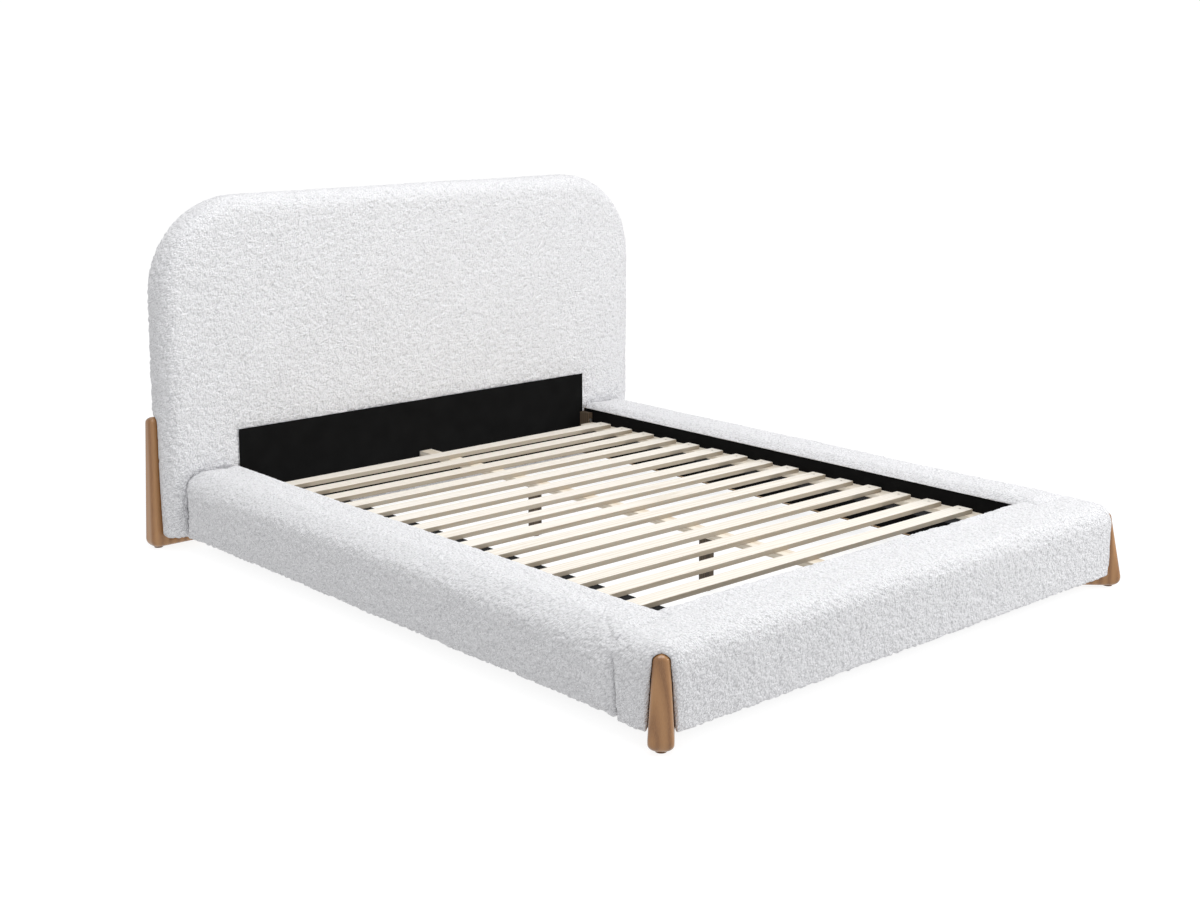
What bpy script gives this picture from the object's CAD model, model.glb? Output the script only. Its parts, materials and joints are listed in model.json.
"""Upholstered platform bed in curly boucle with wedge legs and a slatted base."""
import json
import math

import bmesh
import bpy
import numpy as np
from mathutils import Matrix, Vector


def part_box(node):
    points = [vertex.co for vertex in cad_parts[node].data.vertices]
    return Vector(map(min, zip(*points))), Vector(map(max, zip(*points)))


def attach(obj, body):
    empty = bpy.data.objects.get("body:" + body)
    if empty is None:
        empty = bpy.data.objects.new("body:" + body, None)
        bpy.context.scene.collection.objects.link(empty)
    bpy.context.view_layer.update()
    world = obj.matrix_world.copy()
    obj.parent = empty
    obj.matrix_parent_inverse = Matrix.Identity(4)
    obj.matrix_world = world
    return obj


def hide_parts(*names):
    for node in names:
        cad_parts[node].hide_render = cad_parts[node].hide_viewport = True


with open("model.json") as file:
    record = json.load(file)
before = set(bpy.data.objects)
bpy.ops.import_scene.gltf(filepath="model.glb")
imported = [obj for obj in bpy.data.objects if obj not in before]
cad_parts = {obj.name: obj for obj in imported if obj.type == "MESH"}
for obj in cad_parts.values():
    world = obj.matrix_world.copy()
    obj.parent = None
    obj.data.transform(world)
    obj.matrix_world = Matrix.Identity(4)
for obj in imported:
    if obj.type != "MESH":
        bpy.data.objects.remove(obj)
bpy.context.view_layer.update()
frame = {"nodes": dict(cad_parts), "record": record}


# ---------- camera ----------

def make_camera():
    """A high three-quarter view from the foot's left; its verticals are almost parallel, so part of its
    downward tilt is lens shift."""
    place = (-3.5837, -3.9006, 1.6058)
    yaw, pitch, roll = math.radians(41.768), math.radians(9.084), math.radians(-0.104)
    forward = Vector((math.cos(pitch) * math.sin(yaw), math.cos(pitch) * math.cos(yaw),
                      -math.sin(pitch)))
    level = Vector((math.cos(yaw), -math.sin(yaw), 0.0))
    up = level.cross(forward)
    right = math.cos(roll) * level + math.sin(roll) * up
    up = -math.sin(roll) * level + math.cos(roll) * up
    turn = Matrix((right, up, -forward)).transposed()
    data = bpy.data.cameras.new("camera")
    data.sensor_width = 36.0
    data.lens = 51.02
    data.shift_y = -0.1004
    data.clip_end = 100.0
    camera = bpy.data.objects.new("camera", data)
    camera.matrix_world = Matrix.Translation(place) @ turn.to_4x4()
    bpy.context.scene.collection.objects.link(camera)
    bpy.context.scene.camera = camera


make_camera()


# ---------- distance fields ----------

def round_max(a, b, radius):
    """Intersection of two fields whose shared edge is rounded."""
    corner = np.hypot(np.maximum(a + radius, 0), np.maximum(b + radius, 0))
    return np.minimum(np.maximum(a, b), -radius) + corner


def box_field(p, low, high):
    """Distance to a sharp box; a None bound is open."""
    d = np.full(p.shape[:-1], -1e3)
    for axis in range(3):
        if low[axis] is not None:
            d = np.maximum(d, low[axis] - p[..., axis])
        if high[axis] is not None:
            d = np.maximum(d, p[..., axis] - high[axis])
    return d


def hull_outline(circles):
    """Corners of the convex outline round a set of circles (x, z, radius)."""
    turn = np.linspace(0, 2 * math.pi, 64, endpoint=False)
    rings = [np.stack([x + r * np.cos(turn), z + r * np.sin(turn)], -1) for x, z, r in circles]
    pts = np.concatenate(rings)
    pts = np.unique(np.round(pts, 7), axis=0)

    def half(points):
        chain = []
        for q in points:
            while len(chain) > 1:
                a, b = chain[-1] - chain[-2], q - chain[-2]
                if a[0] * b[1] - a[1] * b[0] > 0:
                    break
                chain.pop()
            chain.append(q)
        return chain[:-1]
    return np.array(half(list(pts)) + half(list(pts[::-1])))


def outline_field(x, z, corners):
    """Signed distance to a convex outline whose corners run anticlockwise."""
    near = np.full(x.shape, 1e9)
    inside = np.full(x.shape, -1e9)
    for (ax, az), (bx, bz) in zip(corners, np.roll(corners, -1, axis=0)):
        ex, ez = bx - ax, bz - az
        length = math.hypot(ex, ez)
        if length < 1e-9:
            continue
        dx, dz = x - ax, z - az
        t = np.clip((dx * ex + dz * ez) / length ** 2, 0, 1)
        near = np.minimum(near, (dx - t * ex) ** 2 + (dz - t * ez) ** 2)
        inside = np.maximum(inside, (dx * ez - dz * ex) / length)
    return np.where(inside < 0, inside, np.sqrt(near))


def surface_net(field, low, high, step):
    """Closed quad mesh of a field's zero surface, its vertices pulled onto the surface."""
    low, high = np.array(low, float), np.array(high, float)
    n = np.ceil((high - low) / step).astype(int) + 1
    axes = [low[a] + step * np.arange(n[a]) for a in range(3)]
    p = np.stack(np.meshgrid(*axes, indexing="ij"), -1)
    d = field(p)
    solid = d < 0
    total = np.zeros(tuple(n - 1) + (3,))
    count = np.zeros(tuple(n - 1))
    crossing = []
    for a in range(3):
        first, second = [slice(None)] * 3, [slice(None)] * 3
        first[a], second[a] = slice(0, -1), slice(1, None)
        first, second = tuple(first), tuple(second)
        hit = solid[first] != solid[second]
        at = np.argwhere(hit)
        da, db = d[first][hit], d[second][hit]
        point = p[first][hit].copy()
        point[:, a] += step * da / (da - db)
        crossing.append((at, solid[first][hit]))
        b, c = (a + 1) % 3, (a + 2) % 3
        for ob in (0, 1):
            for oc in (0, 1):
                cell = at.copy()
                cell[:, b] -= ob
                cell[:, c] -= oc
                ok = np.all((cell >= 0) & (cell < n - 1), axis=1)
                idx = tuple(cell[ok].T)
                np.add.at(total, idx, point[ok])
                np.add.at(count, idx, 1)
    active = count > 0
    index = np.full(active.shape, -1)
    index[active] = np.arange(active.sum())
    verts = total[active] / count[active][:, None]
    quads = []
    for a, (at, inside) in enumerate(crossing):
        b, c = (a + 1) % 3, (a + 2) % 3
        corner = []
        for ob, oc in ((0, 0), (1, 0), (1, 1), (0, 1)):
            cell = at.copy()
            cell[:, b] -= ob
            cell[:, c] -= oc
            corner.append(index[tuple(cell.T)])
        q = np.stack(corner, -1)
        q[~inside] = q[~inside][:, ::-1]
        quads.append(q)
    quads = np.concatenate(quads)
    start, reach = verts.copy(), 0.7 * step
    for _ in range(3):
        value, slope = field(verts), gradient(field, verts)
        verts = verts - slope * (value / np.maximum((slope ** 2).sum(-1), 0.25))[:, None]
        verts = start + np.clip(verts - start, -reach, reach)
    return verts, quads


def gradient(field, p, e=4e-4):
    """Slope of a field at each point, from points a little ahead and behind."""
    out = np.empty_like(p)
    for a in range(3):
        ahead, behind = p.copy(), p.copy()
        ahead[:, a] += e
        behind[:, a] -= e
        out[:, a] = (field(ahead) - field(behind)) / (2 * e)
    return out


# ---------- mesh helpers ----------

def make_object(name, verts, faces, material=None):
    """A smooth-shaded mesh object in the scene."""
    mesh = bpy.data.meshes.new(name)
    mesh.from_pydata(np.asarray(verts).tolist(), [], [list(map(int, f)) for f in faces])
    mesh.validate()
    mesh.polygons.foreach_set("use_smooth", [True] * len(mesh.polygons))
    obj = bpy.data.objects.new(name, mesh)
    bpy.context.scene.collection.objects.link(obj)
    if material is not None:
        mesh.materials.append(material)
    return obj


def vertex_normals(verts, quads):
    """Mean of the normals of the quads round each vertex."""
    first = verts[quads[:, 2]] - verts[quads[:, 0]]
    second = verts[quads[:, 3]] - verts[quads[:, 1]]
    cross = np.cross(first, second)
    out = np.zeros_like(verts)
    for k in range(4):
        np.add.at(out, quads[:, k], cross)
    return out / np.maximum(np.linalg.norm(out, axis=1, keepdims=True), 1e-12)


def refine(verts, quads, show):
    """One Catmull-Clark step on the shown quads only; hidden quads take the new edge points in as
    extra corners."""
    n = len(verts)
    centre = verts[quads].mean(1)
    edges = np.stack([quads, np.roll(quads, -1, axis=1)], -1).reshape(-1, 2)
    owner = np.repeat(np.arange(len(quads)), 4)
    key = np.sort(edges, axis=1)
    pairs, which = np.unique(key, axis=0, return_inverse=True)
    which = which.reshape(-1)
    used = np.zeros(len(pairs), int)
    np.add.at(used, which, show[owner].astype(int))
    split = used > 0
    middle = verts[pairs].mean(1)
    around = np.zeros_like(middle)
    np.add.at(around, which, centre[owner])
    inner = used == 2
    edge_point = middle.copy()
    edge_point[inner] = (middle[inner] * 2 + around[inner]) / 4
    faces_round = np.zeros(n)
    shown_round = np.zeros(n)
    face_sum = np.zeros_like(verts)
    for k in range(4):
        np.add.at(faces_round, quads[:, k], 1)
        np.add.at(shown_round, quads[:, k], show.astype(float))
        np.add.at(face_sum, quads[:, k], centre)
    middle_sum, valence = np.zeros_like(verts), np.zeros(n)
    for k in range(2):
        np.add.at(middle_sum, pairs[:, k], middle)
        np.add.at(valence, pairs[:, k], 1)
    free = (shown_round == faces_round) & (valence == faces_round)
    moved = verts.copy()
    v = valence[free][:, None]
    moved[free] = (face_sum[free] / v + 2 * middle_sum[free] / v + (v - 3) * verts[free]) / v
    edge_index = np.full(len(pairs), -1)
    edge_index[split] = n + np.arange(split.sum())
    face_index = np.full(len(quads), -1)
    face_index[show] = n + split.sum() + np.arange(show.sum())
    new_verts = np.concatenate([moved, edge_point[split], centre[show]])
    at = edge_index[which].reshape(-1, 4)
    q, e, f = quads[show], at[show], face_index[show]
    small = np.concatenate([np.stack([q[:, k], e[:, k], f, e[:, k - 1]], -1) for k in range(4)])
    coarse = []
    for row, cut in zip(quads[~show], at[~show]):
        face = []
        for k in range(4):
            face.append(row[k])
            if cut[k] >= 0:
                face.append(cut[k])
        coarse.append(face)
    return new_verts, small, coarse


# ---------- noise in numpy ----------

def hashed(cell, seed):
    """A repeatable number from 0 to 1 for each whole-number cell."""
    h = (cell[..., 0].astype(np.int64) * 73856093) ^ (cell[..., 1].astype(np.int64) * 19349663)
    h = h ^ (cell[..., 2].astype(np.int64) * 83492791) ^ (seed * 2654435761)
    h = (h ^ (h >> 13)) * 1274126177 & 0x7FFFFFFF
    h = (h ^ (h >> 16)) * 668265263 & 0x7FFFFFFF
    return (h ^ (h >> 15)) / float(0x7FFFFFFF) % 1.0


def value_noise(p, size, seed):
    """Smooth noise from -1 to 1 whose bumps are about size across."""
    q = p / size
    cell = np.floor(q)
    f = q - cell
    f = f * f * (3 - 2 * f)
    out = np.zeros(len(p))
    for dx in (0, 1):
        for dy in (0, 1):
            for dz in (0, 1):
                w = (f[:, 0] if dx else 1 - f[:, 0]) * (f[:, 1] if dy else 1 - f[:, 1])
                w = w * (f[:, 2] if dz else 1 - f[:, 2])
                out += w * hashed(cell + np.array([dx, dy, dz]), seed)
    return out * 2 - 1


def knot_noise(p, size, seed):
    """Distance to the nearest scattered point, in units of size: low on each knot of the pile, high
    between them."""
    q = p / size
    cell = np.floor(q)
    best = np.full(len(p), 9.0)
    for dx in (-1, 0, 1):
        for dy in (-1, 0, 1):
            for dz in (-1, 0, 1):
                c = cell + np.array([dx, dy, dz])
                spot = c + np.stack([hashed(c, seed + k) for k in range(3)], -1)
                best = np.minimum(best, ((spot - q) ** 2).sum(-1))
    return np.sqrt(best)


# ---------- the bed's main sizes, from the frame ----------

side_low, side_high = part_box("side_rail_pad_right")
foot_low, foot_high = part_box("foot_rail_pad")
head_low, head_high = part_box("headboard_pad")
box_low, box_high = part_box("side_rail_box_right")
foot_box_low, foot_box_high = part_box("foot_rail_box")
board_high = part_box("side_rail_board_right")[1]
foot_board_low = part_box("foot_rail_board")[0]
panel_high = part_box("headboard_lining")[1]
core_low, core_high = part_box("headboard_face_board")
cover_low, cover_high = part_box("headboard_back_cover")
rear_leg_low, rear_leg_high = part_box("leg_rear_right")
front_leg_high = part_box("leg_front_right")[1]

INNER_X, OUTER_X = side_low.x, side_high.x
SEAM_Y, HEAD_Y, FOOT_Y = side_low.y, head_low.y, foot_low.y
FOOT_INNER_Y, BACK_Y = foot_high.y, head_high.y
PAD_BOTTOM, PAD_TOP, LINING_TOP = side_low.z, side_high.z, board_high.z
HEAD_HALF, HEAD_TOP, HEAD_BOTTOM = head_high.x, head_high.z, head_low.z
# Radii of the padding: over the rails, along their inner and lower edges, where a rail meets the
# headboard, at the foot's and the headboard's corners, and round the headboard's front edge
SHOULDER, INNER_EDGE, LOWER_EDGE = 0.062, 0.022, 0.010
RAIL_END, RAIL_END_CORNER = 0.020, 0.014
FOOT_CORNER, HEAD_CORNER, HEAD_EDGE = 0.075, 0.320, 0.062
# How far the covers hang over the black lining, their gap round a leg, and the radius of their dip there
OVERHANG, FOOT_OVERHANG, SNUG, TUCK = 0.0075, 0.005, 0.0015, 0.009
# Width of the cloth turned in under the rails, how far the covers start inside their full size, and how
# far out the foot rail's box is cut off at its corners
WRAP, SHRINK, CORNER_CUT = 0.036, 0.0035, 0.030
# The open space under a rail's box reaches this far up into the box, so that nothing stays between them
CUT = 0.001
# The legs: glide under them, width at the floor and at the top, radii of the edges and of the toe;
# then the radii of the face's lower corners and of the back's edges, and how high the arm stands
GLIDE, LEG_W, LEG_TOP_W, LEG_EDGE, TOE = 0.003, 0.064, 0.043, 0.016, 0.034
LEG_FACE_CORNER, LEG_BACK_EDGE, ARM_TOP = 0.026, 0.004, 0.037
CORNER_X, CORNER_Y = OUTER_X - FOOT_CORNER, FOOT_Y + FOOT_CORNER
REAR_LEG_Y = (rear_leg_low.y + rear_leg_high.y) / 2


# ---------- legs ----------

class Leg:
    """A wedge standing outside a corner and an arm running in under the bed. In its own space, a runs
    outward, w across and z up."""

    def __init__(self, side, rear):
        self.side = side
        if rear:
            height, reach, self.arm = rear_leg_high.z, 0.027, 0.200
            top_a, back_a = 0.017, -0.030
            self.origin = np.array([HEAD_HALF, REAR_LEG_Y])
            self.out = np.array([1.0, 0.0])
        else:
            height, reach, self.arm = front_leg_high.z, 0.102, 0.165
            top_a, back_a = 0.069, 0.030
            self.origin = np.array([CORNER_X, CORNER_Y])
            self.out = np.array([1.0, -1.0]) / math.sqrt(2)
        self.reach, self.height = reach, height
        # both outlines end at the sole and at the top, where rounding their shared edge draws the
        # surface in
        drawn_in = LEG_EDGE * (1 - math.sqrt(0.5))
        self.sole, top = GLIDE - drawn_in, height + drawn_in
        top_r = (top_a - back_a) / 2
        back, edge = back_a + LEG_BACK_EDGE, LEG_BACK_EDGE
        self.side_outline = hull_outline([
            (reach - TOE, self.sole + TOE, TOE), (top_a - top_r, top - top_r, top_r),
            (back, self.sole + edge, edge), (back, ARM_TOP - edge, edge)])
        corner, half_top = LEG_FACE_CORNER, LEG_TOP_W / 2
        low = [(s * (LEG_W / 2 - corner), z, corner) for s in (-1, 1) for z in (self.sole + corner, TOE)]
        self.face_outline = hull_outline([(0.0, top - half_top, half_top)] + low)

    def local(self, p):
        """Points of the bed in the leg's own space."""
        x = p[..., 0] * self.side - self.origin[0]
        y = p[..., 1] - self.origin[1]
        a = x * self.out[0] + y * self.out[1]
        w = -x * self.out[1] + y * self.out[0]
        return a, w, p[..., 2]

    def field_local(self, a, w, z):
        """Distance to the wedge with its arm, in the leg's own space."""
        wedge = outline_field(a, z, self.side_outline)
        length = np.maximum(-self.arm - a, a - (self.reach - TOE))
        arm = np.maximum(length, np.maximum(self.sole - z, z - ARM_TOP))
        return round_max(np.minimum(wedge, arm), outline_field(w, z, self.face_outline), LEG_EDGE)

    def field(self, p):
        """Distance to the leg from points of the bed."""
        return self.field_local(*self.local(p))


LEGS = {
    "leg_front_left": Leg(-1, False), "leg_front_right": Leg(1, False),
    "leg_rear_left": Leg(-1, True), "leg_rear_right": Leg(1, True),
}


# ---------- pad shapes ----------
# Each gives two fields: the padding's outer form, and the room inside it for the boards and boxes.

def seam_line(z):
    """Where the side rails' covers meet the foot rail's, how far they overlap, and their edges' radius:
    the seam leans back a little and closes up over the shoulder."""
    lean, straight_to, level, shift = 0.075, 0.20, 0.05, 0.004
    closes_at, closes_over, lap = 0.175, 0.045, 0.0045
    open_edge, lost_edge = 0.009, 0.0075
    closed = np.clip((z - closes_at) / closes_over, 0, 1)
    line = SEAM_Y + shift + lean * (np.minimum(z, straight_to) - level)
    return line, lap * closed, open_edge - lost_edge * closed


def side_rail_forms(p):
    """The right-hand side rail."""
    x, y, z = p[..., 0], p[..., 1], p[..., 2]
    section = round_max(x - OUTER_X, z - PAD_TOP, SHOULDER)
    section = round_max(section, INNER_X - OVERHANG - x, INNER_EDGE)
    section = round_max(section, PAD_BOTTOM - z, LOWER_EDGE)
    d = round_max(section, y - HEAD_Y, RAIL_END)
    d = np.maximum(d, round_max(x - OUTER_X, y - HEAD_Y, RAIL_END_CORNER))
    line, meet, soft = seam_line(z)
    d = round_max(d, line - meet - y, soft)
    board = box_field(p, (None, None, None), (board_high.x, None, LINING_TOP))
    box = box_field(p, (None, None, box_low.z), (box_high.x, box_high.y, box_high.z))
    below = box_field(p, (None, None, None), (box_high.x - WRAP, box_high.y, box_low.z + CUT))
    return d, np.minimum(np.minimum(board, box), below)


def foot_rail_forms(p):
    """The foot rail with its returns, on both sides of the middle."""
    x, y, z = np.abs(p[..., 0]), p[..., 1], p[..., 2]
    plan = round_max(x - OUTER_X, FOOT_Y - y, FOOT_CORNER)
    d = round_max(plan, z - PAD_TOP, SHOULDER)
    line, meet, soft = seam_line(z)
    returns = round_max(d, y - line - meet, soft)
    middle = round_max(d, y - FOOT_INNER_Y - FOOT_OVERHANG, INNER_EDGE)
    middle = np.maximum(middle, x - INNER_X - OVERHANG)
    d = round_max(np.minimum(returns, middle), PAD_BOTTOM - z, LOWER_EDGE)
    box = np.minimum(
        np.maximum(x - foot_box_high.x, np.maximum(foot_box_low.y - y, y - SEAM_Y)),
        np.maximum(x - INNER_X, np.maximum(foot_box_low.y - y, y - foot_board_low.y)))
    blunt = ((x - CORNER_X) - (y - CORNER_Y)) / math.sqrt(2) - CORNER_CUT
    box = np.maximum(np.maximum(box, blunt), np.maximum(foot_box_low.z - z, z - foot_box_high.z))
    board = np.maximum(np.maximum(x - INNER_X, foot_board_low.y - y), z - LINING_TOP)
    below = np.maximum(x - (foot_box_high.x - WRAP), foot_box_low.y + WRAP - y)
    below = np.maximum(np.maximum(below, z - foot_box_low.z - CUT), blunt + WRAP)
    leg = LEGS["leg_front_right"].field(np.stack([x, y, z], -1))
    return round_max(d, -leg - SNUG, TUCK), np.minimum(np.minimum(box, board), below)


def headboard_forms(p):
    """The headboard, on both sides of the middle."""
    x, y, z = np.abs(p[..., 0]), p[..., 1], p[..., 2]
    # the cloth stands proud of the black panel and of the rails' ends, and dips to meet them
    proud, dip, softness, beside, under = 0.010, 0.003, 0.022, 0.03, 0.01
    panel = np.hypot(np.maximum(x - panel_high.x, 0), np.maximum(z - panel_high.z, 0))
    rail = np.hypot(np.maximum(x - OUTER_X + beside, 0), np.maximum(z - PAD_TOP + under, 0))
    puff = proud * (1 - np.exp(-np.minimum(panel, rail) / softness)) - dip
    back_edge = 0.8 * HEAD_EDGE
    outline = round_max(x - HEAD_HALF, z - HEAD_TOP, HEAD_CORNER)
    d = round_max(outline, HEAD_Y - puff - y, HEAD_EDGE)
    d = round_max(d, y - BACK_Y, back_edge)
    d = round_max(d, HEAD_BOTTOM - z, LOWER_EDGE)
    inset = HEAD_HALF - core_high.x
    core = round_max(x - HEAD_HALF + inset, z - HEAD_TOP + inset, HEAD_CORNER - inset)
    leg = LEGS["leg_rear_right"].field(np.stack([x, y, z], -1))
    return round_max(d, -leg - SNUG, TUCK), np.maximum(core, core_low.y - y)


def puff_up(name, verts, quads, held, cap):
    """Cloth simulation: the cover is pressed outwards from inside, held where it is stapled or hidden.
    No point moves further than the cap."""
    last_frame = 20
    obj = make_object(name + "_cloth", verts, quads)
    group = obj.vertex_groups.new(name="held")
    group.add(np.flatnonzero(held).tolist(), 1.0, "REPLACE")
    cloth = obj.modifiers.new("cloth", "CLOTH")
    st = cloth.settings
    st.quality, st.mass, st.air_damping = 4, 0.3, 2.0
    st.tension_stiffness = st.compression_stiffness = 12.0
    st.shear_stiffness, st.bending_stiffness = 4.0, 0.6
    st.use_pressure, st.uniform_pressure_force = True, 4.0
    st.effector_weights.gravity = 0.0
    st.vertex_group_mass = "held"
    cloth.collision_settings.use_collision = False
    cloth.collision_settings.use_self_collision = False
    cloth.point_cache.frame_start, cloth.point_cache.frame_end = 1, last_frame
    scene = bpy.context.scene
    for frame_number in range(1, last_frame + 1):
        scene.frame_set(frame_number)
    dg = bpy.context.evaluated_depsgraph_get()
    out = np.empty(len(verts) * 3, np.float32)
    obj.evaluated_get(dg).data.vertices.foreach_get("co", out)
    out = out.reshape(-1, 3).astype(float)
    mesh = obj.data
    bpy.data.objects.remove(obj)
    bpy.data.meshes.remove(mesh)
    scene.frame_set(1)
    move = out - verts
    far = np.linalg.norm(move, axis=1, keepdims=True)
    return verts + move * (cap * np.tanh(far / cap) / np.maximum(far, 1e-9))


def pile(verts, normals, amount, seed, grain):
    """Lifts the cover into knots of curly pile; returns the new points and how high each stands, from
    0 to 1."""
    lift, level, wander, knot_edge = 0.0062, 0.45, 0.004, 1.1
    warp = np.stack([value_noise(verts, 0.030, seed + 20 + k) for k in range(3)], -1) * wander
    near = knot_noise(verts + warp, grain, seed)
    height = np.clip(knot_edge - near, 0, 1)
    height = height * height * (3 - 2 * height)
    return verts + normals * (lift * (height - level) * amount)[:, None], height


def pile_room(p):
    """Near 0 where the cover is drawn tight against a leg or into the rails' seam, 1 elsewhere."""
    tight, leg_reach, seam_reach, least, seam_top = 0.004, 0.030, 0.008, 0.1, 0.19
    mirrored = p * np.array([-1, 1, 1])
    near = np.full(len(p), 9.0)
    for name in ("leg_front_right", "leg_rear_right"):
        for q in (p, mirrored):
            near = np.minimum(near, LEGS[name].field(q))
    from_seam = np.where(np.abs(p[:, 0]) > INNER_X, np.abs(p[:, 1] - seam_line(p[:, 2])[0]), 9.0)
    from_seam = from_seam + np.maximum(p[:, 2] - seam_top, 0)
    by_leg = np.clip((near - tight) / leg_reach, least, 1)
    by_seam = np.clip((from_seam - tight) / seam_reach, least, 1)
    return np.minimum(by_leg, by_seam)


def upholster(name, forms, low, high, step, seed, grain, cap, mirror=False):
    """Shape, cloth simulation, soft unevenness, one subdivision and the pile; returns the finished
    cover."""
    flatter_on_top, pressed = 0.45, 1.6

    def field(p):
        outer, room = forms(p)
        return np.maximum(outer + SHRINK, -room)

    verts, quads = surface_net(field, low, high, step)
    shown = (forms(verts)[0] + SHRINK) > -0.45 * step
    shown_q = shown[quads].sum(1) >= 3
    held = ~shown
    held[quads[~shown_q]] = True
    verts = puff_up(name, verts, quads, held, cap)
    normals = vertex_normals(verts, quads)
    broad = 0.0022 * value_noise(verts, 0.21, seed + 40)
    narrow = 0.0011 * value_noise(verts, 0.075, seed + 41)
    verts = verts + normals * ((broad + narrow) * ~held)[:, None]
    verts, small, coarse = refine(verts, quads, shown_q)
    shown_v = np.zeros(len(verts), bool)
    shown_v[small] = True
    for face in coarse:
        shown_v[face] = False
    normals = vertex_normals(verts, small)
    room = pile_room(verts)
    # the pile lies flatter on top, and is pressed down, and so looks darker, beside the legs and seams
    amount = shown_v * room * (1 - flatter_on_top * np.clip((normals[:, 2] - 0.5) / 0.4, 0, 1))
    verts, height = pile(verts, normals, amount, seed, grain)
    height = 0.5 + (height - 0.5) * amount - pressed * (1 - room)
    faces = small.tolist() + coarse
    if mirror:
        verts = verts * np.array([-1, 1, 1])
        faces = [f[::-1] for f in faces]
    obj = make_object(name, verts, faces, BOUCLE)
    attribute = obj.data.attributes.new("pile", "FLOAT", "POINT")
    attribute.data.foreach_set("value", height.astype(np.float32))
    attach(obj, "root")
    return obj


# ---------- materials ----------

def new_material(name):
    """A material with its node tree and its shader."""
    material = bpy.data.materials.new(name)
    material.use_nodes = True
    tree = material.node_tree
    return material, tree, tree.nodes["Principled BSDF"]


def node(tree, kind, inputs=(), **props):
    """Adds a node, sets its properties, and fills its sockets with numbers or links."""
    made = tree.nodes.new(kind)
    for key, value in props.items():
        setattr(made, key, value)
    for key, value in dict(inputs).items():
        if isinstance(value, bpy.types.NodeSocket):
            tree.links.new(value, made.inputs[key])
        else:
            made.inputs[key].default_value = value
    return made


def scaled(tree, value, factor, offset):
    """value * factor + offset."""
    made = node(tree, "ShaderNodeMath", {0: value, 1: factor, 2: offset}, operation="MULTIPLY_ADD")
    return made.outputs[0]


def ramp(tree, factor, stops):
    """Colour ramp over (position, colour) stops."""
    made = node(tree, "ShaderNodeValToRGB", {"Fac": factor})
    points = made.color_ramp.elements
    while len(points) < len(stops):
        points.new(0.5)
    for point, (at, colour) in zip(points, stops):
        point.position = at
        point.color = (*colour, 1.0)
    return made.outputs["Color"]


def mapped(tree, scale=(1, 1, 1), location=(0, 0, 0), rotation=(0, 0, 0)):
    """The object's own coordinates, scaled, turned and shifted."""
    coord = node(tree, "ShaderNodeTexCoord")
    made = node(tree, "ShaderNodeMapping", {
        "Vector": coord.outputs["Object"], "Scale": scale, "Location": location, "Rotation": rotation})
    return made.outputs["Vector"]


def boucle_material():
    """Curly pile: slanted knots with shaded gaps, fine fibres over them, and the lift of the modelled
    knots."""
    material, tree, shader = new_material("boucle")
    at = mapped(tree)
    warp = node(tree, "ShaderNodeTexNoise", {"Vector": at, "Scale": 70.0, "Detail": 2.0})
    bent = node(tree, "ShaderNodeVectorMath", {0: warp.outputs["Color"], 1: (0.005, 0.005, 0.005)},
                operation="MULTIPLY")
    curled = node(tree, "ShaderNodeVectorMath", {0: at, 1: bent.outputs[0]}, operation="ADD")
    leaning = node(tree, "ShaderNodeMapping", {"Vector": curled.outputs[0], "Rotation": (0.0, 0.75, 0.6)})
    drawn = node(tree, "ShaderNodeMapping", {"Vector": leaning.outputs[0], "Scale": (0.62, 1.0, 1.0)})
    curl = node(tree, "ShaderNodeTexVoronoi", {"Vector": drawn.outputs[0], "Scale": 185.0},
                feature="SMOOTH_F1")
    curl.inputs["Smoothness"].default_value = 0.25
    fibre = node(tree, "ShaderNodeTexNoise", {
        "Vector": at, "Scale": 420.0, "Detail": 3.0, "Roughness": 0.65})
    knot = scaled(tree, curl.outputs["Distance"], -1.0, 0.8)
    relief = scaled(tree, fibre.outputs["Fac"], 0.34, knot)
    bump = node(tree, "ShaderNodeBump", {"Height": relief, "Strength": 1.0, "Distance": 0.0050})
    high = node(tree, "ShaderNodeAttribute", attribute_name="pile")
    tone = scaled(tree, relief, 1.0, scaled(tree, high.outputs["Fac"], 0.16, -0.08))
    colour = ramp(tree, tone, [(0.10, (0.69, 0.69, 0.71)), (0.50, (0.86, 0.86, 0.88)),
                               (0.90, (0.91, 0.91, 0.935))])
    tree.links.new(colour, shader.inputs["Base Color"])
    tree.links.new(bump.outputs["Normal"], shader.inputs["Normal"])
    shader.inputs["Roughness"].default_value = 0.95
    shader.inputs["Specular IOR Level"].default_value = 0.15
    shader.inputs["Sheen Weight"].default_value = 0.25
    shader.inputs["Sheen Roughness"].default_value = 0.5
    return material


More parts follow.
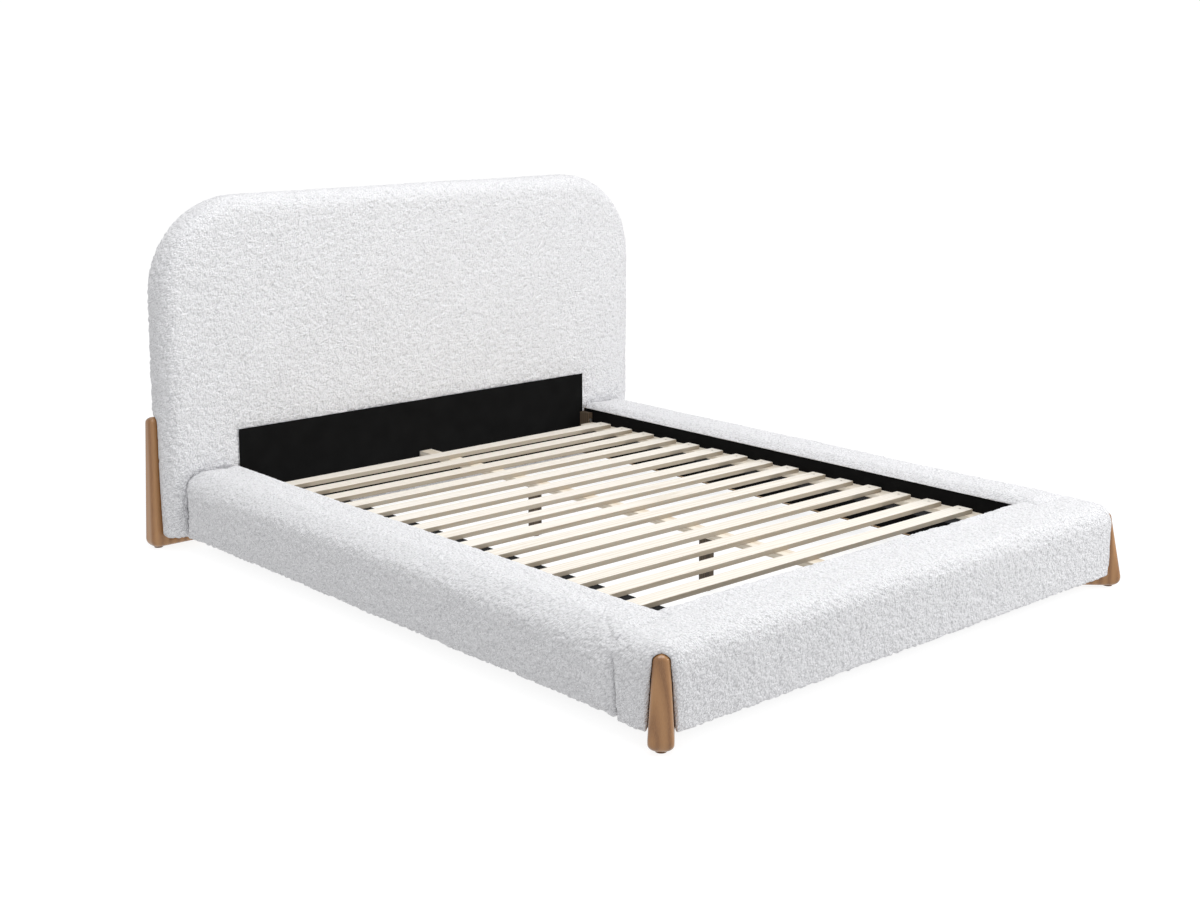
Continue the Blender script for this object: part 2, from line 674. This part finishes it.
def wood_material(name, dark, mid, light, along, scale=1.0, rough=0.45, coat=0.0, rings=11.0,
                  heart=(0, 0, 0), tilt=(0, 0, 0), wander=0.16, twist=2.2, flank=None):
    """Wood whose grain runs along one axis: rings stretched lengthwise, fine pores and slow colour
    change. A flank colour darkens the faces that are marked as sawn sides."""
    material, tree, shader = new_material(name)
    squeeze = [1.0, 1.0, 1.0]
    squeeze[along] = 0.07
    at = mapped(tree, scale=[s * scale for s in squeeze], location=heart, rotation=tilt)
    warp = node(tree, "ShaderNodeTexNoise", {"Vector": at, "Scale": 3.5, "Detail": 3.0, "Roughness": 0.55})
    push = node(tree, "ShaderNodeVectorMath", {0: warp.outputs["Color"], 1: (wander, wander, wander)},
                operation="MULTIPLY")
    wandering = node(tree, "ShaderNodeVectorMath", {0: at, 1: push.outputs[0]}, operation="ADD")
    ring = node(tree, "ShaderNodeTexWave", {
        "Vector": wandering.outputs[0], "Scale": rings, "Distortion": twist, "Detail": 2.0,
        "Detail Scale": 1.6}, wave_type="RINGS", rings_direction="XYZ"[along])
    pore_scale = [130.0 * scale] * 3
    pore_scale[along] = 5.0 * scale
    pores = node(tree, "ShaderNodeTexNoise", {
        "Vector": mapped(tree, scale=pore_scale), "Scale": 1.6, "Detail": 4.0, "Roughness": 0.7})
    slow = node(tree, "ShaderNodeTexNoise", {"Vector": at, "Scale": 1.7, "Detail": 1.0})
    tone = scaled(tree, ring.outputs["Fac"], 0.42, scaled(tree, pores.outputs["Fac"], 0.55, -0.18))
    tone = scaled(tree, slow.outputs["Fac"], 0.5, tone)
    colour = ramp(tree, tone, [(0.12, dark), (0.45, mid), (0.85, light)])
    if flank:
        beside = node(tree, "ShaderNodeAttribute", attribute_name="flank")
        darker = node(tree, "ShaderNodeMix", {0: beside.outputs["Fac"], 6: colour, 7: (*flank, 1.0)},
                      data_type="RGBA", blend_type="MULTIPLY")
        colour = darker.outputs[2]
    tree.links.new(colour, shader.inputs["Base Color"])
    shine = scaled(tree, pores.outputs["Fac"], -0.18, rough + 0.09)
    tree.links.new(shine, shader.inputs["Roughness"])
    bump = node(tree, "ShaderNodeBump", {
        "Height": pores.outputs["Fac"], "Strength": 0.35, "Distance": 0.0004})
    tree.links.new(bump.outputs["Normal"], shader.inputs["Normal"])
    shader.inputs["Coat Weight"].default_value = coat
    shader.inputs["Coat Roughness"].default_value = 0.22
    return material


def cloth_material(name, dark, light, thread=0.0011, rough=0.92, gloss=0.2):
    """Plain woven or felted cloth."""
    material, tree, shader = new_material(name)
    at = mapped(tree)
    waves = []
    for axis in "XYZ":
        wave = node(tree, "ShaderNodeTexWave", {
            "Vector": at, "Scale": 0.5 / thread / math.pi, "Distortion": 0.6, "Detail": 1.0},
            bands_direction=axis)
        waves.append(wave.outputs["Fac"])
    both = node(tree, "ShaderNodeMath", {0: waves[0], 1: waves[1]}, operation="MAXIMUM")
    weave = node(tree, "ShaderNodeMath", {0: both.outputs[0], 1: waves[2]}, operation="MAXIMUM")
    cloud = node(tree, "ShaderNodeTexNoise", {"Vector": at, "Scale": 16.0, "Detail": 4.0})
    tone = scaled(tree, cloud.outputs["Fac"], 0.7, scaled(tree, weave.outputs[0], 0.4, 0.0))
    tree.links.new(ramp(tree, tone, [(0.3, dark), (0.9, light)]), shader.inputs["Base Color"])
    bump = node(tree, "ShaderNodeBump", {"Height": weave.outputs[0], "Strength": 0.3, "Distance": 0.0004})
    tree.links.new(bump.outputs["Normal"], shader.inputs["Normal"])
    shader.inputs["Roughness"].default_value = rough
    shader.inputs["Specular IOR Level"].default_value = gloss
    return material


def steel_material():
    """Zinc-plated steel with a cloudy bloom."""
    material, tree, shader = new_material("steel")
    cloud = node(tree, "ShaderNodeTexNoise", {"Vector": mapped(tree), "Scale": 90.0, "Detail": 4.0})
    colour = ramp(tree, cloud.outputs["Fac"], [(0.3, (0.42, 0.42, 0.43)), (0.7, (0.62, 0.62, 0.61))])
    tree.links.new(colour, shader.inputs["Base Color"])
    tree.links.new(scaled(tree, cloud.outputs["Fac"], 0.3, 0.22), shader.inputs["Roughness"])
    shader.inputs["Metallic"].default_value = 1.0
    return material


BOUCLE = boucle_material()
# The axis that a wood's grain runs along
X, Y, Z = 0, 1, 2
MATERIALS = {
    "back_cloth": cloth_material("back_cloth", (0.66, 0.66, 0.67), (0.80, 0.80, 0.80)),
    "lining": cloth_material("lining", (0.003, 0.003, 0.003), (0.008, 0.008, 0.008), rough=1.0, gloss=0.08),
    "strap": cloth_material("strap", (0.004, 0.004, 0.005), (0.014, 0.014, 0.015), thread=0.0018),
    "leg_wood": wood_material(
        "leg_wood", (0.16, 0.062, 0.019), (0.345, 0.165, 0.060), (0.45, 0.230, 0.090), Z,
        scale=3.2, rough=0.24, coat=0.6, rings=3.6, heart=(-0.42, 0.05, 0.0), tilt=(0.0, 0.10, 0.0),
        wander=0.08, twist=1.0),
    "slat_wood": wood_material(
        "slat_wood", (0.66, 0.58, 0.47), (0.81, 0.755, 0.67), (0.86, 0.82, 0.755), X,
        scale=2.2, rough=0.62, flank=(0.50, 0.455, 0.39)),
    "ledger_wood": wood_material(
        "ledger_wood", (0.62, 0.50, 0.37), (0.82, 0.74, 0.62), (0.88, 0.82, 0.72), Y, scale=2.2, rough=0.62),
    "frame_wood": wood_material(
        "frame_wood", (0.42, 0.28, 0.16), (0.60, 0.44, 0.28), (0.70, 0.55, 0.38), Y, scale=2.0, rough=0.7),
    "dark_wood": wood_material(
        "dark_wood", (0.025, 0.016, 0.009), (0.075, 0.052, 0.033), (0.12, 0.085, 0.053), Z,
        scale=3.0, rough=0.6),
    "steel": steel_material(),
    "felt": cloth_material("felt", (0.16, 0.085, 0.045), (0.24, 0.135, 0.075)),
}


def colour_frame():
    """The frame's own pieces in the materials of their slots; the straps, the ledgers and the centre
    rail have their own."""
    for row in frame["record"]["subparts"]:
        name, key = row["node"], row.get("material_slot")
        obj = frame["nodes"].get(name)
        if obj is None or key == "upholstery":
            continue
        if "strap" in name:
            key = "strap"
        if "ledger" in name or name == "centre_rail":
            key = "ledger_wood"
        obj.data.materials.clear()
        obj.data.materials.append(MATERIALS[key])


colour_frame()


# ---------- upholstery ----------

def margin_box(low, high, gap=0.02):
    """A box grown on every side."""
    return [c - gap for c in low], [c + gap for c in high]


def make_upholstery():
    """The four padded covers."""
    rail_step, head_step = 0.009, 0.011
    rail_grain, head_grain = 0.0135, 0.0142
    rail_cap, head_cap = 0.008, 0.009
    rail_seed, foot_seed, head_seed = 11, 31, 51
    low, high = margin_box(side_low, side_high)
    for side, name in ((1, "right"), (-1, "left")):
        cover = upholster("side_rail_cover_" + name, side_rail_forms, low, high, rail_step,
                          rail_seed + side, rail_grain, rail_cap, mirror=side < 0)
        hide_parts("side_rail_pad_" + name)
    low, high = margin_box(foot_low, foot_high)
    cover = upholster("foot_rail_cover", foot_rail_forms, low, high, rail_step,
                      foot_seed, rail_grain, rail_cap)
    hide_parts("foot_rail_pad")
    low, high = margin_box(head_low, head_high)
    cover = upholster("headboard_cover", headboard_forms, low, high, head_step,
                      head_seed, head_grain, head_cap)
    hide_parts("headboard_pad")


make_upholstery()


# ---------- legs ----------

def make_legs():
    """The four wedge legs, each made in its own space so that its grain follows it."""
    step, half_width = 0.0032, 0.04
    up = Vector((0, 0, 1))
    for name, leg in LEGS.items():
        def field(q):
            return leg.field_local(q[..., 0], q[..., 1], q[..., 2])

        low = (-leg.arm - 0.01, -half_width, GLIDE - 0.008)
        high = (leg.reach + 0.01, half_width, leg.height + 0.01)
        verts, quads = surface_net(field, low, high, step)
        obj = make_object(name.replace("leg_", "") + "_wedge_leg", verts, quads, MATERIALS["leg_wood"])
        out = Vector((leg.side * leg.out[0], leg.out[1], 0.0))
        turn = Matrix((out, up.cross(out), up)).transposed()
        place = Matrix.Translation((leg.side * leg.origin[0], leg.origin[1], 0.0))
        obj.matrix_world = place @ turn.to_4x4()
        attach(obj, "root")
        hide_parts(name)


make_legs()


# ---------- slats ----------

def is_long_edge(edge):
    """True for one of a slat's own sharp edges, not for the short ones round a screw hole."""
    shortest, sharp = 0.013, 0.8
    return edge.calc_length() > shortest and edge.is_manifold and edge.calc_face_angle() > sharp


def make_slats():
    """The slats with eased edges; their side faces are marked, since rougher sawn wood shows there."""
    slat_count, easing = 15, 0.0022
    for number in range(1, slat_count + 1):
        name = "slat_%02d" % number
        source = frame["nodes"][name]
        shape = bmesh.new()
        shape.from_mesh(source.data)
        bmesh.ops.remove_doubles(shape, verts=shape.verts, dist=1e-6)
        bmesh.ops.dissolve_limit(shape, angle_limit=0.02, verts=shape.verts, edges=shape.edges)
        sharp = [edge for edge in shape.edges if is_long_edge(edge)]
        bmesh.ops.bevel(shape, geom=sharp, offset=easing, segments=2, profile=0.6, affect="EDGES")
        bmesh.ops.triangulate(shape, faces=[f for f in shape.faces if len(f.verts) > 4])
        mesh = bpy.data.meshes.new(name + "_eased")
        shape.to_mesh(mesh)
        shape.free()
        piece = bpy.data.objects.new(name + "_eased", mesh)
        piece.matrix_world = source.matrix_world.copy()
        bpy.context.scene.collection.objects.link(piece)
        side = mesh.attributes.new("flank", "FLOAT", "FACE")
        side.data.foreach_set("value", [float(abs(f.normal.z) < 0.5) for f in mesh.polygons])
        mesh.materials.append(MATERIALS["slat_wood"])
        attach(piece, "root")
        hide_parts(name)


make_slats()


# ---------- hem, stitching and staples of the back and under covers ----------

# Half the crown, the legs' length and the wire's radius
STITCH = (0.0022, 0.0006, 0.0004)
STAPLE = (0.0050, 0.0010, 0.0005)


def wire_loops(name, spots, size, material):
    """Short bent wires in one mesh; each spot gives a middle, the way the crown runs and the way it
    faces."""
    half, leg, wire = size
    sides = 6
    verts, faces = [], []
    for at, along, out in spots:
        across = along.cross(out)
        bend = half - 1.2 * wire
        path = [at - along * half - out * leg, at - along * half, at - along * bend + out * wire,
                at + along * bend + out * wire, at + along * half, at + along * half - out * leg]
        first, last = len(verts), len(path) - 1
        for k, q in enumerate(path):
            way = (path[min(k + 1, last)] - path[max(k - 1, 0)]).normalized()
            lift = way.cross(across)
            for s in range(sides):
                t = 2 * math.pi * s / sides
                verts.append(q + wire * (math.cos(t) * across + math.sin(t) * lift))
        for k in range(last):
            for s in range(sides):
                i, j = first + sides * k + s, first + sides * k + (s + 1) % sides
                faces.append((i, j, j + sides, i + sides))
        faces.append([first + s for s in range(sides - 1, -1, -1)])
        faces.append([first + sides * last + s for s in range(sides)])
    obj = make_object(name, np.array([tuple(v) for v in verts]), faces, material)
    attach(obj, "root")


def back_cover_edge():
    """The back cover's outline as rows of x, z and the outward direction, first row repeated last, and
    the distance run up to each row."""
    inset, above, foot = HEAD_HALF - cover_high.x + 0.001, 0.006, 0.012
    half, top = HEAD_HALF - inset, HEAD_TOP - inset
    bottom, corner = cover_low.z + above, HEAD_CORNER - inset
    arcs = ((half - corner, top - corner, corner, 0), (corner - half, top - corner, corner, 90),
            (foot - half, bottom + foot, foot, 180), (half - foot, bottom + foot, foot, 270))
    rows = []
    for cx, cz, r, start in arcs:
        for degrees in range(0, 91, 5):
            t = math.radians(start + degrees)
            rows.append((cx + r * math.cos(t), cz + r * math.sin(t), math.cos(t), math.sin(t)))
    rows = np.array(rows + rows[:1])
    run = np.concatenate([[0], np.cumsum(np.hypot(*np.diff(rows[:, :2], axis=0).T))])
    return rows, run


def make_back_hem():
    """The turned-in edge of the cloth on the headboard's back, which laps over the padding and is sewn
    down and stapled."""
    rows, run = back_cover_edge()
    length, pitch = run[-1], 0.008

    def along(s):
        return np.stack([np.interp(s, run, rows[:, k]) for k in range(4)], -1)

    count = int(length / pitch)
    points = along(np.arange(count) * length / count)
    section = [(-0.0110, -0.0006), (-0.0110, 0.0006), (-0.0095, 0.0014), (0.0, 0.0019),
               (0.0085, 0.0012), (0.0100, 0.0), (0.0100, -0.0030), (0.0, -0.0006)]
    verts, faces = [], []
    flat = np.stack([points[:, 0], points[:, 1], points[:, 0] * 0], -1)
    sway = 0.0007 * value_noise(flat, 0.03, 71)
    for (x, z, nx, nz), s in zip(points, sway):
        verts += [(x + nx * (u + s), BACK_Y + v, z + nz * (u + s)) for u, v in section]
    n = len(section)
    for k in range(count):
        here, ahead = k * n, (k + 1) % count * n
        for j in range(n):
            beside = (j + 1) % n
            faces.append((here + j, here + beside, ahead + beside, ahead + j))
    hem = make_object("back_cover_hem", verts, faces, MATERIALS["back_cloth"])
    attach(hem, "root")

    def spots(pitch, shift, lift):
        found = []
        for s in np.arange(pitch / 2, length - pitch / 2, pitch):
            x, z, nx, nz = along(s)
            x, z = x + nx * shift, z + nz * shift
            found.append((Vector((x, BACK_Y + lift, z)), Vector((-nz, 0, nx)), Vector((0, 1, 0))))
        return found

    wire_loops("back_cover_stitching", spots(pitch=0.0065, shift=-0.0075, lift=0.0015), STITCH,
               MATERIALS["back_cloth"])
    wire_loops("back_cover_staples", spots(pitch=0.052, shift=0.0010, lift=0.0018), STAPLE,
               MATERIALS["steel"])


def make_under_staples():
    """Staples along both long edges of the black cloth under each rail."""
    pitch, edge, side_end, foot_end = 0.062, 0.010, 0.15, 0.2
    down, found = Vector((0, 0, -1)), []
    low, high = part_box("side_dust_cover_right")
    for y in np.arange(low.y + side_end, high.y - side_end, pitch):
        for x in (low.x + edge, high.x - edge):
            for side in (-1, 1):
                found.append((Vector((side * x, y, low.z)), Vector((0, 1, 0)), down))
    low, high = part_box("foot_dust_cover")
    for x in np.arange(foot_end - INNER_X, INNER_X - foot_end, pitch):
        for y in (low.y + edge, foot_board_low.y - edge):
            found.append((Vector((x, y, low.z)), Vector((1, 0, 0)), down))
    wire_loops("dust_cover_staples", found, STAPLE, MATERIALS["steel"])


make_back_hem()
make_under_staples()


# ---------- floor, light ----------

def glowing_backing(name, verts, faces, base, rough, glow):
    """A floor or wall that shows white behind the bed, and neither lights nor shades it."""
    mesh = bpy.data.meshes.new(name)
    mesh.from_pydata(verts, [], faces)
    backing = bpy.data.objects.new(name, mesh)
    bpy.context.scene.collection.objects.link(backing)
    material, _, shader = new_material(name)
    shader.inputs["Base Color"].default_value = (base, base, base, 1)
    shader.inputs["Roughness"].default_value = rough
    shader.inputs["Specular IOR Level"].default_value = 0.0
    shader.inputs["Emission Color"].default_value = (1, 1, 1, 1)
    shader.inputs["Emission Strength"].default_value = glow
    mesh.materials.append(material)
    backing.visible_diffuse = backing.visible_glossy = backing.visible_shadow = False
    return backing


def make_stage():
    """White floor and backdrop, an even sky, and two soft lamps."""
    half_floor, below = 30, 0.001
    corners = [(-half_floor, -half_floor, 0), (half_floor, -half_floor, 0), (half_floor, half_floor, 0),
               (-half_floor, half_floor, 0)]
    floor = glowing_backing("floor", corners, [(0, 1, 2, 3)], base=0.2, rough=0.9, glow=0.88)
    floor.location.z = -below
    n, radius, low, high = 48, 29, -0.5, 30.0
    turn = np.linspace(0, 2 * math.pi, n, endpoint=False)
    ring = [(radius * math.cos(t), radius * math.sin(t), z) for z in (low, high) for t in turn]
    walls = [(k, (k + 1) % n, n + (k + 1) % n, n + k) for k in range(n)]
    lid = tuple(range(n, 2 * n))
    dome = glowing_backing("backdrop", ring, walls + [lid], base=0, rough=0.5, glow=1.02)
    world = bpy.data.worlds.new("studio")
    world.use_nodes = True
    sky = world.node_tree.nodes["Background"]
    sky.inputs["Color"].default_value = (1.0, 1.0, 1.0, 1)
    sky.inputs["Strength"].default_value = 0.73
    bpy.context.scene.world = world
    for name, place, aim, size, power in (
            ("key", (3.7, -4.2, 2.1), (0.3, -0.2, 0.35), 2.2, 128.0),
            ("top", (-0.6, -0.6, 4.0), (-0.3, -0.3, 0.0), 3.2, 76.0)):
        data = bpy.data.lights.new(name, "AREA")
        data.size, data.energy = size, power
        lamp = bpy.data.objects.new(name, data)
        lamp.location = place
        lamp.rotation_euler = (Vector(aim) - Vector(place)).to_track_quat("-Z", "Y").to_euler()
        bpy.context.scene.collection.objects.link(lamp)
    view = bpy.context.scene.view_settings
    view.view_transform = "Standard"
    view.look = "None"


make_stage()
